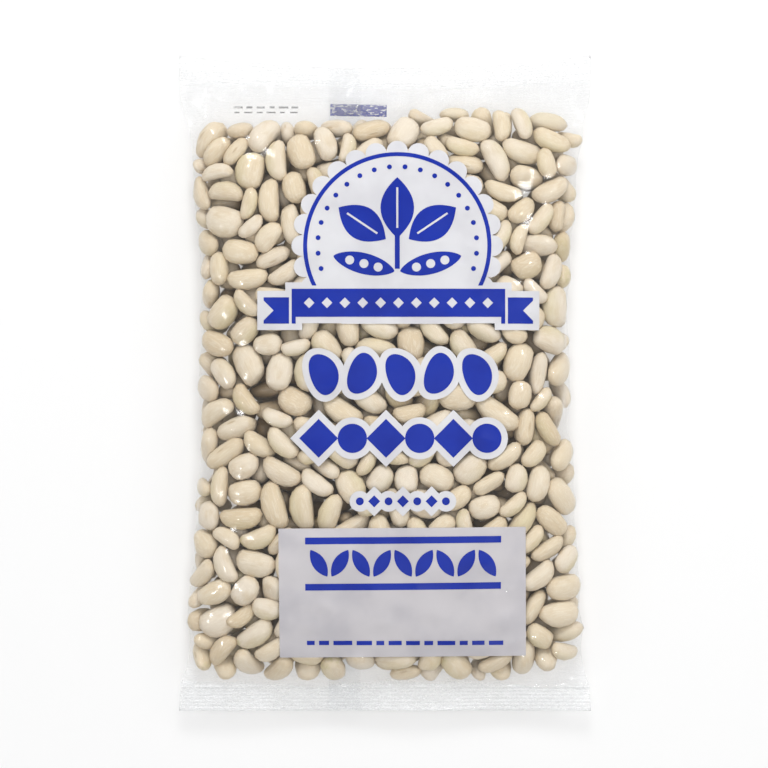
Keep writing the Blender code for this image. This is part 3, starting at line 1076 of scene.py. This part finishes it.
@dataclass
class Stencil:
    """Flat shapes cut as thin slabs, joined into one outline, and laid on the film as ink."""

    name: str
    grow: float = 0.0
    slab: float = 1.0 * MM
    mesh_step: float = 1.1 * MM
    away: float = 60 * MM
    shapes: list[Piece] = field(default_factory=list)
    windows: list[Piece] = field(default_factory=list)

    def _slab(self, flat: Piece, window: bool) -> None:
        """Extrude a flat face to a slab, and keep it with its kind.

        Args:
            flat: The flat face's object.
            window: Whether the slab cuts a window in the others.
        """
        edit(flat)
        deep = 3 * self.slab if window else self.slab
        bpy.ops.mesh.extrude_region_move(TRANSFORM_OT_translate={"value": (0, 0, deep)})
        bpy.ops.mesh.select_all(action="SELECT")
        if window:
            bpy.ops.transform.translate(value=(0, 0, -self.slab))
        bpy.ops.mesh.normals_make_consistent(inside=False)
        close_edit()
        (self.windows if window else self.shapes).append(flat)

    def _place(self, flat: Piece, x: float, y: float, turn: float) -> None:
        """Turn a flat face about its middle and move it to its place on the bag."""
        flat.data.transform(Matrix.Translation((x, y, 0)) @ Matrix.Rotation(math.radians(turn), 4, "Z"))

    def disc(self, x: float, y: float, radius: float, window: bool = False, sides: int = 40) -> None:
        """Cut a round spot.

        Args:
            x: Its middle across the bag.
            y: Its middle along the bag.
            radius: Its radius.
            window: Whether it cuts a window in the other shapes.
            sides: How many sides its outline has.
        """
        bpy.ops.object.select_all(action="DESELECT")
        bpy.ops.mesh.primitive_circle_add(vertices=sides, radius=radius + self.grow, fill_type="NGON")
        spot = bpy.context.object
        self._place(spot, x, y, 0)
        self._slab(spot, window)

    def bar(
        self, x: float, y: float, wide: float, tall: float, turn: float = 0, window: bool = False
    ) -> None:
        """Cut a straight bar, or a diamond when it is turned by 45 degrees.

        Args:
            x: Its middle across the bag.
            y: Its middle along the bag.
            wide: Its width before it is turned.
            tall: Its height before it is turned.
            turn: The angle it is turned by, in degrees.
            window: Whether it cuts a window in the other shapes.
        """
        bpy.ops.object.select_all(action="DESELECT")
        bpy.ops.mesh.primitive_plane_add(size=1)
        bar = bpy.context.object
        edit(bar)
        bpy.ops.transform.resize(value=(wide + 2 * self.grow, tall + 2 * self.grow, 1))
        close_edit()
        self._place(bar, x, y, turn)
        self._slab(bar, window)

    def oval(
        self, x: float, y: float, long: float, wide: float, turn: float, tip: float = 0.0, dent: float = 0.0,
        window: bool = False,
    ) -> None:
        """Cut a long spot: a leaf when its tips are drawn out, or a bean when its side is dented.

        Args:
            x: Its middle across the bag.
            y: Its middle along the bag.
            long: Its length.
            wide: Its width.
            turn: The angle of its length from +X, in degrees.
            tip: How far the tips are drawn to points, from 0 to 1.
            dent: How deep the dent in one side is, as a share of the half-width.
            window: Whether it cuts a window in the other shapes.
        """
        bpy.ops.object.select_all(action="DESELECT")
        bpy.ops.mesh.primitive_circle_add(vertices=44, radius=1.0, fill_type="NGON")
        spot = bpy.context.object
        for vert in spot.data.vertices:
            along, side = vert.co.x, vert.co.y
            side *= (1 - along * along) ** (0.5 * tip) if abs(along) < 0.999 else 1.0
            side -= dent * (1 - along * along) * (1 if side > 0 else 1.35) * 0.5 - dent * 0.5
            vert.co = (along * (long / 2 + self.grow), side * (wide / 2 + self.grow), 0)
        self._place(spot, x, y, turn)
        self._slab(spot, window)

    def _join(self, pieces: list[Piece], operation: str, base: Piece) -> None:
        """Join slabs to a base or cut them out of it, all at once.

        Args:
            pieces: The slabs.
            operation: UNION or DIFFERENCE.
            base: The slab that stays.
        """
        if not pieces:
            return
        group = bpy.data.collections.new("slabs")
        bpy.context.scene.collection.children.link(group)
        for piece in pieces:
            piece.users_collection[0].objects.unlink(piece)
            group.objects.link(piece)
        apply(
            base, "BOOLEAN", operation=operation, operand_type="COLLECTION", collection=group,
            solver="EXACT",
        )
        for piece in pieces:
            bpy.data.objects.remove(piece)
        bpy.data.collections.remove(group)

    def lay(
        self, film: Piece, finish: InkFinish, proud: float, under: bool = False
    ) -> Piece:
        """Join the shapes, cut their top into small faces and lay them on the film.

        Args:
            film: The film's piece.
            finish: The ink.
            proud: How far the ink stands off the film.
            under: Whether it is laid on the back of the bag, from below.

        Returns:
            The printed piece.
        """
        base = self.shapes.pop(0)
        base.name = base.data.name = self.name
        self._join(self.shapes, "UNION", base)
        self._join(self.windows, "DIFFERENCE", base)
        pick(base, lambda face: face.normal.z < 0.5)
        bpy.ops.mesh.delete(type="FACE")
        bpy.ops.mesh.select_all(action="SELECT")
        bpy.ops.mesh.quads_convert_to_tris(quad_method="BEAUTY", ngon_method="BEAUTY")
        close_edit()
        points = np.array([v.co.xy for v in base.data.vertices])
        edit(base)
        for axis in range(2):
            place = points[:, axis].min() + self.mesh_step * 0.61
            while place < points[:, axis].max():
                bpy.ops.mesh.select_all(action="SELECT")
                spot, way = [0.0, 0.0, 0.0], [0.0, 0.0, 0.0]
                spot[axis], way[axis] = place, 1.0
                bpy.ops.mesh.bisect(plane_co=spot, plane_no=way)
                place += self.mesh_step
        bpy.ops.mesh.select_all(action="SELECT")
        bpy.ops.mesh.remove_doubles(threshold=0.00002)
        bpy.ops.transform.translate(value=(0, 0, -self.away if under else self.away))
        if under:
            bpy.ops.mesh.flip_normals()
        close_edit()
        apply(
            base, "SHRINKWRAP", wrap_method="PROJECT", wrap_mode="ABOVE_SURFACE", target=film, offset=proud,
            use_project_z=True, use_negative_direction=not under, use_positive_direction=under,
        )
        base.data.shade_smooth()
        dress(base, finish.material())
        return base


@dataclass
class PrintedFront:
    """The print: a white ground, a blue badge with a bean sprig, ornament rows and a panel."""

    halo: float = 2.2 * MM
    white_proud: float = 0.09 * MM
    blue_proud: float = 0.16 * MM
    badge: tuple[float, float] = (4.2 * MM, 47.0 * MM)
    badge_radius: float = 32.8 * MM
    dot_ring: float = 27.2 * MM
    lobes: int = 28
    lobe_radius: float = 3.6 * MM
    pod_turn: float = 14.0
    ribbon: tuple[float, float] = (73 * MM, 9.6 * MM)
    ribbon_drop: float = 19.6 * MM
    bean_row: float = 3.1 * MM
    shape_row: float = -18.9 * MM
    fine_row: float = -40.4 * MM
    panel: tuple[float, float, float, float] = (6.0 * MM, -71.8 * MM, 84.6 * MM, 44.6 * MM)
    white: InkFinish = InkFinish("white_ink", (0.655, 0.655, 0.68, 1.0), (0.585, 0.58, 0.61, 1.0), 0.96)
    grey: InkFinish = InkFinish("panel_ink", (0.55, 0.53, 0.55, 1.0), (0.475, 0.46, 0.49, 1.0), 0.96)
    blue: InkFinish = InkFinish("blue_ink", (0.009, 0.029, 0.33, 1.0), (0.007, 0.022, 0.275, 1.0))

    def _badge_line(self, ink: Stencil) -> None:
        """The badge's round line.

        Args:
            ink: The stencil that gets the shapes.
        """
        x, y = self.badge
        ink.disc(x, y, self.badge_radius - 0.6 * MM, sides=96)
        ink.disc(x, y, self.badge_radius - 2.0 * MM, window=True, sides=96)

    def _badge_dots(self, ink: Stencil) -> None:
        """A ring of dots inside the badge's line, left out where the ribbon crosses it.

        Args:
            ink: The stencil that gets the shapes.
        """
        x, y = self.badge
        for k in range(32):
            angle = 2 * math.pi * (k + 0.5) / 32
            if math.sin(angle) > -0.42:
                across, up = self.dot_ring * math.cos(angle), self.dot_ring * math.sin(angle)
                ink.disc(x + across, y + up, 0.85 * MM, sides=16)

    def _sprig(self, ink: Stencil) -> None:
        """Three leaves over two bean pods, on one stem.

        Args:
            ink: The stencil that gets the shapes.
        """
        x, y = self.badge
        ink.bar(x, y - 0.5 * MM, 1.7 * MM, 15 * MM)
        leaves = ((0.0, 13.0, 90, 21.0), (-12.0, 7.6, 146, 19.5), (12.0, 7.6, 34, 19.5))
        for shift, lift, turn, long in leaves:
            ink.oval(x + shift * MM, y + lift * MM, long * MM, 11.5 * MM, turn, tip=1.0)
            ink.bar(x + shift * MM, y + lift * MM, (long - 7) * MM, 0.7 * MM, turn, window=True)
        for side in (-1, 1):
            cx, cy = x + side * 11.4 * MM, y - 6.2 * MM
            ink.oval(cx, cy, 21.5 * MM, 7.2 * MM, side * self.pod_turn, tip=0.45)
            lean = math.radians(self.pod_turn)
            for k in (-1, 0, 1):
                along, up = 5.0 * MM * k * math.cos(lean), 5.0 * MM * k * math.sin(lean)
                ink.disc(cx + along, cy + side * up, 1.55 * MM, window=True, sides=20)

    def _ribbon(self, ink: Stencil, cut: bool) -> None:
        """A ribbon across the badge's foot, with notched tails and a row of diamonds.

        Args:
            ink: The stencil that gets the shapes.
            cut: Whether notches, gaps and diamonds are cut out of it.
        """
        x, y = self.badge[0] + 0.4 * MM, self.badge[1] - self.ribbon_drop
        ink.bar(x, y, *self.ribbon)
        for side in (-1, 1):
            ink.bar(x + side * 40.6 * MM, y - 2.6 * MM, 11.0 * MM, 9.0 * MM)
            if cut:
                ink.bar(x + side * 46.2 * MM, y - 2.6 * MM, 5.0 * MM, 5.0 * MM, 45, window=True)
                ink.bar(x + side * 36.95 * MM, y - 1.2 * MM, 0.9 * MM, 13 * MM, window=True)
        if cut:
            for k in range(-5, 6):
                ink.bar(x + k * 6.1 * MM, y, 2.6 * MM, 2.6 * MM, 45, window=True)

    def _rows(self, ink: Stencil) -> None:
        """Two bold rows of ornaments, beans above and diamonds and spots below, then a fine row.

        Args:
            ink: The stencil that gets the shapes.
        """
        for k in range(5):
            turn = 72 if k % 2 else 108
            ink.oval((5.3 + 13.1 * (k - 2)) * MM, self.bean_row, 14.4 * MM, 9.4 * MM, turn, dent=0.34)
        for k in range(6):
            x = (6.1 + 11.5 * (k - 2.5)) * MM
            if k % 2:
                ink.disc(x, self.shape_row, 5.0 * MM)
            else:
                ink.bar(x, self.shape_row, 9.4 * MM, 9.4 * MM, 45)
        for k in range(7):
            x = (6.1 + 4.9 * (k - 3)) * MM
            if k % 2:
                ink.bar(x, self.fine_row, 2.9 * MM, 2.9 * MM, 45)
            else:
                ink.disc(x, self.fine_row, 1.35 * MM, sides=20)

    def _panel_print(self, ink: Stencil) -> None:
        """Two rules with a garland of leaves between them, and a line of dashes at the foot.

        Args:
            ink: The stencil that gets the shapes.
        """
        x, y = self.panel[0] + 0.2 * MM, self.panel[1]
        for lift in (18.1, 2.2):
            ink.bar(x, y + lift * MM, 67 * MM, 2.3 * MM, 0.5)
        for k in range(9):
            turn = 58 if k % 2 else 122
            ink.oval(x + 7.2 * (k - 4) * MM, y + 10.2 * MM, 10.8 * MM, 4.6 * MM, turn, tip=0.8)
        chance = np.random.default_rng(3)
        place = -33.0
        while place < 30.0:
            long = float(chance.uniform(2.2, 7.5))
            ink.bar(x + (place + long / 2) * MM, y - 17.4 * MM, long * MM, 1.5 * MM, 0.5)
            place += long + 1.5

    def build(self, film: Piece) -> list[Piece]:
        """Print the front.

        Args:
            film: The film's piece.

        Returns:
            The printed pieces.
        """
        x, y = self.badge
        badge = Stencil("white_badge", grow=self.halo)
        badge.disc(x, y, self.badge_radius - self.halo, sides=72)
        for k in range(self.lobes):
            angle = 2 * math.pi * k / self.lobes
            if math.sin(angle) > -0.55:
                reach = self.badge_radius - 0.2 * MM
                across, up = reach * math.cos(angle), reach * math.sin(angle)
                badge.disc(x + across, y + up, self.lobe_radius - self.halo, sides=28)
        self._ribbon(badge, cut=False)
        badge.bar(x, y - 34 * MM, 60 * MM, 10.0 * MM, window=True)
        ground = Stencil("white_ground", grow=self.halo)
        self._rows(ground)
        panel = Stencil("white_panel")
        panel.bar(*self.panel, 0.4)
        blue = Stencil("blue_badge_line")
        self._badge_line(blue)
        # The line ends at the ribbon, with a white edge between them.
        blue.bar(x, y - 25.0 * MM, 96 * MM, 22.6 * MM, window=True)
        marks = Stencil("blue_ornaments")
        self._badge_dots(marks)
        self._sprig(marks)
        self._ribbon(marks, cut=True)
        self._rows(marks)
        self._panel_print(marks)
        return [
            badge.lay(film, self.white, self.white_proud),
            ground.lay(film, self.white, self.white_proud),
            panel.lay(film, self.grey, self.white_proud),
            blue.lay(film, self.blue, self.blue_proud),
            marks.lay(film, self.blue, self.blue_proud),
        ]


@dataclass
class HeaderMarks:
    """Small marks on the back film of the header, which show through the front."""

    proud: float = 0.06 * MM
    blue: InkFinish = InkFinish(
        "mark_ink", (0.035, 0.05, 0.32, 1.0), (0.10, 0.12, 0.42, 1.0), 0.95, worn=0.8
    )
    black: InkFinish = InkFinish(
        "dash_ink", (0.10, 0.10, 0.11, 1.0), (0.20, 0.20, 0.22, 1.0), 0.8, worn=0.5
    )

    def build(self, film: Piece) -> list[Piece]:
        """Print the marks.

        Args:
            film: The film's piece.

        Returns:
            The printed pieces.
        """
        block = Stencil("header_block")
        block.bar(-9.2 * MM, 94.6 * MM, 19.6 * MM, 4.0 * MM, -1.0)
        dashes = Stencil("header_dashes")
        for k in range(6):
            wide = (3.2, 2.1, 2.9, 1.8, 3.4, 2.4)[k]
            dashes.bar((-51.0 + 3.95 * k) * MM, 95.6 * MM, wide * MM, 0.7 * MM)
            dashes.bar((-51.4 + 3.95 * k) * MM, 93.9 * MM, (5.0 * MM - wide * MM), 0.5 * MM)
        return [
            block.lay(film, self.blue, self.proud, under=True),
            dashes.lay(film, self.black, self.proud, under=True),
        ]


@dataclass
class BackSeam:
    """The lapped seam down the back, where the film tube is closed: a second layer of film."""

    form: BagForm
    proud: float = 0.04 * MM
    wall: float = 0.06 * MM
    middle: float = -2.0 * MM
    below: float = 60 * MM

    def build(self, film: Piece, finish: FilmFinish) -> Piece:
        """Make the seam's strip.

        Args:
            film: The film's piece.
            finish: What the strip is dressed in.

        Returns:
            The seam's piece.
        """
        bpy.ops.object.select_all(action="DESELECT")
        bpy.ops.mesh.primitive_grid_add(x_subdivisions=10, y_subdivisions=230, size=1)
        strip = bpy.context.object
        strip.name = strip.data.name = "back_seam"
        edit(strip)
        bpy.ops.transform.resize(value=(self.form.seam_width, self.form.length - 5 * MM, 1))
        bpy.ops.transform.translate(value=(self.form.seam_x, self.middle, -self.below))
        bpy.ops.mesh.flip_normals()
        close_edit()
        apply(
            strip, "SHRINKWRAP", wrap_method="PROJECT", wrap_mode="ABOVE_SURFACE", target=film,
            offset=self.proud, use_project_z=True, use_negative_direction=False, use_positive_direction=True,
        )
        for vert in strip.data.vertices:
            vert.co.z = max(vert.co.z, 0.0)
        apply(strip, "SOLIDIFY", thickness=self.wall, offset=-1.0)
        focus(strip)
        bpy.ops.object.shade_smooth_by_angle(angle=math.radians(40))
        seal = self.form.seal_depth - self.form.length / 2
        mark(strip, "frost", np.array([0.9 if v.co.y < seal else 0.04 for v in strip.data.vertices]))
        dress(strip, finish.material())
        return strip


@dataclass(frozen=True)
class Studio:
    """The pale floor, the soft lights and the camera that looks straight down on the bag."""

    pixel: float = 0.3454 * MM
    pixels: int = 768
    lens: float = 150.0
    sensor: float = 36.0
    middle_height: float = 12.0 * MM
    floor_glow: float = 0.33

    def camera(self) -> None:
        """Set the camera over the bag, at the photograph's framing."""
        data = bpy.data.cameras.new("camera")
        data.lens = self.lens
        data.sensor_width = self.sensor
        camera = bpy.data.objects.new("camera", data)
        bpy.context.scene.collection.objects.link(camera)
        distance = self.pixels * self.pixel * self.lens / self.sensor
        camera.location = (-self.pixel, -self.pixel, self.middle_height + distance)
        bpy.context.scene.camera = camera

    def _light(
        self, name: str, place: tuple[float, float, float], size: float, power: float, glint: bool
    ) -> None:
        """Hang a square light that is aimed at the bag.

        Args:
            name: Its name.
            place: Where it hangs.
            size: Its width.
            power: Its power in watts.
            glint: Whether it is only seen mirrored in the film. If not, it only lights.
        """
        data = bpy.data.lights.new(name, "AREA")
        data.size = size
        data.energy = power
        light = bpy.data.objects.new(name, data)
        bpy.context.scene.collection.objects.link(light)
        light.location = place
        light.rotation_euler = (-Vector(place)).to_track_quat("-Z", "Y").to_euler()
        light.visible_glossy = glint
        light.visible_diffuse = not glint

    def lights(self) -> None:
        """Hang the soft lights and set the pale surroundings."""
        for name, place, size, power in (
            ("overhead_softbox", (0.05, -0.10, 1.25), 0.80, 7.4),
            ("key_softbox", (0.02, 0.88, 0.78), 0.45, 7.6),
            ("left_softbox", (-0.95, 0.05, 0.80), 0.50, 1.3),
            ("right_softbox", (0.95, 0.25, 0.80), 0.50, 2.4),
            ("foot_softbox", (0.15, -0.95, 0.80), 0.50, 0.8),
        ):
            self._light(name, place, size, power, glint=False)
        for name, place in (
            ("top_glint", (-0.38, 0.72, 0.95)), ("left_glint", (-0.70, -0.20, 0.90)),
            ("right_glint", (0.62, 0.30, 0.95)), ("foot_glint", (0.25, -0.66, 1.00)),
        ):
            self._light(name, place, 0.12, 2.2, glint=True)
        world = bpy.data.worlds.new("studio_air")
        bpy.context.scene.world = world
        graph = Graph(world)
        # The room is dark above the camera, so what faces up mirrors nothing, and pale around.
        way = graph.node("ShaderNodeTexCoord", out="Generated")
        height = graph.parts(way)[2]
        low, lower = 1.0 - graph.step(height, 0.55, 0.90), 1.0 - graph.step(height, 0.15, 0.50)
        glow = low * 0.32 + lower * 0.45 + 0.05
        air = graph.node("ShaderNodeBackground", values={"Color": (1.0, 1.0, 1.0, 1.0), "Strength": glow})
        graph.finish(air, "ShaderNodeOutputWorld")
        bpy.context.scene.view_settings.view_transform = "Standard"

    def floor(self) -> None:
        """Lay the floor that the bag lies on."""
        bpy.ops.object.select_all(action="DESELECT")
        bpy.ops.mesh.primitive_plane_add(size=6, location=(0, 0, -0.08 * MM))
        floor = bpy.context.object
        floor.name = floor.data.name = "floor"
        made = bpy.data.materials.new("pale_floor")
        graph = Graph(made)
        grain = graph.noise(graph.place(), 40.0)
        # The floor glows a little, as a light table does, so what lies under clear film stays pale.
        graph.finish(graph.node("ShaderNodeBsdfPrincipled", values={
            "Base Color": (0.56, 0.56, 0.56, 1.0), "Roughness": grain * 0.1 + 0.8,
            "Emission Color": (1.0, 1.0, 1.0, 1.0), "Emission Strength": self.floor_glow}))
        floor.data.materials.append(made)


def main() -> None:
    """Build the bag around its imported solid, and set the studio."""
    logging.basicConfig(level=logging.INFO, format="%(name)s: %(message)s")
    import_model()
    form = BagForm()
    heap = BeanHeap(form)
    heap.pack()
    LOG.info("packed %d beans", heap.count)
    beans = heap.build(BeanFinish())
    film = FilmTube(form).build(FilmFinish(), beans)
    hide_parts("bean_bag")
    pieces = beans + [film, BackSeam(form).build(film, FilmFinish("seam_film"))]
    pieces += PrintedFront().build(film) + HeaderMarks().build(film)
    for piece in pieces:
        LOG.info("%s: %d faces", piece.name, len(piece.data.polygons))
    studio = Studio()
    studio.floor()
    studio.lights()
    studio.camera()


if __name__ == "__main__":
    main()
